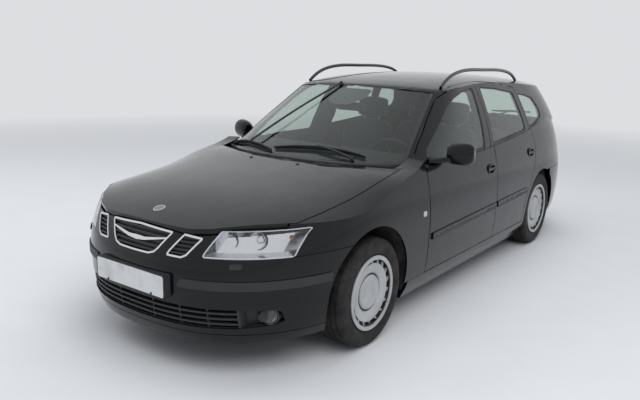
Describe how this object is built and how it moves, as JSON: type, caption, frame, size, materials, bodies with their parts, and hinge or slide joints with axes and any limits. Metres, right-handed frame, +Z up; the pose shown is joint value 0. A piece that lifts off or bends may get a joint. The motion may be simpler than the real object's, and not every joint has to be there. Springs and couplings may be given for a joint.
{
  "type": "station wagon",
  "caption": "Five-door station wagon with raised roof rails, hinged doors, bonnet and tailgate, and steered front wheels.",
  "frame": {"origin": "on the ground under the middle of the car's box", "axes": "+Z up, the car's front towards -Y, its left side towards +X"},
  "size_m": [2.0322, 4.6544, 1.5034],
  "materials": {
    "body_paint": "glossy black paint",
    "underbody": "painted dark steel and iron",
    "black_plastic": "satin black moulding",
    "bright_trim": "bright plated trim",
    "clear_lens": "clear moulded lens",
    "lamp_red": "red moulded lamp",
    "tinted_glass": "lightly tinted glass",
    "engine_metal": "cast alloy",
    "interior_plastic": "grained dark plastic",
    "seat_fabric": "dark woven cloth",
    "tyre_rubber": "black rubber",
    "wheel_silver": "silver painted wheel cover"
  },
  "bodies": {
    "body": {"floor_pan": "underbody", "side_frames": "body_paint", "body_posts": "body_paint", "roof": "body_paint", "front_fenders": "body_paint", "bumpers": "body_paint", "bumper_strips": "black_plastic", "grille_frames": "bright_trim", "grille_slats": "black_plastic", "lower_grille": "black_plastic", "headlamps": "black_plastic", "headlamp_lenses": "clear_lens", "tail_lamps": "lamp_red", "fixed_glass": "tinted_glass", "roof_rails": "black_plastic", "cowl": "black_plastic", "front_frame": "underbody", "powertrain": "engine_metal", "rear_axle": "underbody", "dashboard": "interior_plastic", "seats": "seat_fabric"},
    "bonnet": {"bonnet": "body_paint"},
    "tailgate": {"tailgate": "body_paint", "tailgate_glass": "tinted_glass"},
    "front_left_door": {"front_left_door": "body_paint", "front_left_glass": "tinted_glass", "left_mirror": "black_plastic"},
    "rear_left_door": {"rear_left_door": "body_paint", "rear_left_glass": "tinted_glass"},
    "left_knuckle": {"left_knuckle": "underbody"},
    "front_right_door": {"front_right_door": "body_paint", "front_right_glass": "tinted_glass", "right_mirror": "black_plastic"},
    "rear_right_door": {"rear_right_door": "body_paint", "rear_right_glass": "tinted_glass"},
    "right_knuckle": {"right_knuckle": "underbody"},
    "steering_rack": {"steering_rack": "underbody"},
    "steering_wheel": {"steering_wheel": "interior_plastic"},
    "front_left_wheel": {"front_left_tyre": "tyre_rubber", "front_left_wheel": "wheel_silver"},
    "front_right_wheel": {"front_right_tyre": "tyre_rubber", "front_right_wheel": "wheel_silver"},
    "rear_left_wheel": {"rear_left_tyre": "tyre_rubber", "rear_left_wheel": "wheel_silver"},
    "rear_right_wheel": {"rear_right_tyre": "tyre_rubber", "rear_right_wheel": "wheel_silver"}
  },
  "joints": [
    {"name": "front_left_door_hinge", "type": "hinge", "parent": "body", "child": "front_left_door", "pos_m": [0.862, -0.7215, 0.588], "axis": [0, 0, -1], "range_deg": [0, 65]},
    {"name": "rear_left_door_hinge", "type": "hinge", "parent": "body", "child": "rear_left_door", "pos_m": [0.862, 0.3415, 0.588], "axis": [0, 0, -1], "range_deg": [0, 65]},
    {"name": "front_right_door_hinge", "type": "hinge", "parent": "body", "child": "front_right_door", "pos_m": [-0.862, -0.7215, 0.588], "axis": [0, 0, 1], "range_deg": [0, 65]},
    {"name": "rear_right_door_hinge", "type": "hinge", "parent": "body", "child": "rear_right_door", "pos_m": [-0.862, 0.3415, 0.588], "axis": [0, 0, 1], "range_deg": [0, 65]},
    {"name": "bonnet_hinge", "type": "hinge", "parent": "body", "child": "bonnet", "pos_m": [0, -0.9065, 0.886], "axis": [-1, 0, 0], "range_deg": [0, 50]},
    {"name": "tailgate_hinge", "type": "hinge", "parent": "body", "child": "tailgate", "pos_m": [0, 1.8235, 1.31132], "axis": [1, 0, 0], "range_deg": [0, 78]},
    {"name": "steer_left", "type": "hinge", "parent": "body", "child": "left_knuckle", "pos_m": [0.7, -1.3925, 0.203], "axis": [-0.1976, 0, 0.9803], "range_deg": [-35, 35]},
    {"name": "steer_right", "type": "hinge", "parent": "body", "child": "right_knuckle", "pos_m": [-0.7, -1.3925, 0.203], "axis": [0.1976, 0, 0.9803], "range_deg": [-35, 35]},
    {"name": "rack_slide", "type": "slide", "parent": "body", "child": "steering_rack", "axis": [1, 0, 0], "range_m": [-0.085, 0.085]},
    {"name": "steering_wheel_turn", "type": "hinge", "parent": "body", "child": "steering_wheel", "pos_m": [0.36, -0.3415, 0.848], "axis": [0, 0.9135, 0.4067], "range_deg": [-540, 540]},
    {"name": "front_left_axle", "type": "hinge", "parent": "left_knuckle", "child": "front_left_wheel", "pos_m": [0.762, -1.3925, 0.309], "axis": [1, 0, 0], "continuous": true},
    {"name": "front_right_axle", "type": "hinge", "parent": "right_knuckle", "child": "front_right_wheel", "pos_m": [-0.762, -1.3925, 0.309], "axis": [1, 0, 0], "continuous": true},
    {"name": "rear_left_axle", "type": "hinge", "parent": "body", "child": "rear_left_wheel", "pos_m": [0.753, 1.2825, 0.309], "axis": [1, 0, 0], "continuous": true},
    {"name": "rear_right_axle", "type": "hinge", "parent": "body", "child": "rear_right_wheel", "pos_m": [-0.753, 1.2825, 0.309], "axis": [1, 0, 0], "continuous": true}
  ],
  "couplings": [
    {"joint": "steer_right", "follows": "steer_left", "ratio": 1},
    {"joint": "rack_slide", "follows": "steer_left", "m_per_rad": -0.13},
    {"joint": "steering_wheel_turn", "follows": "steer_left", "ratio": 15}
  ]
}
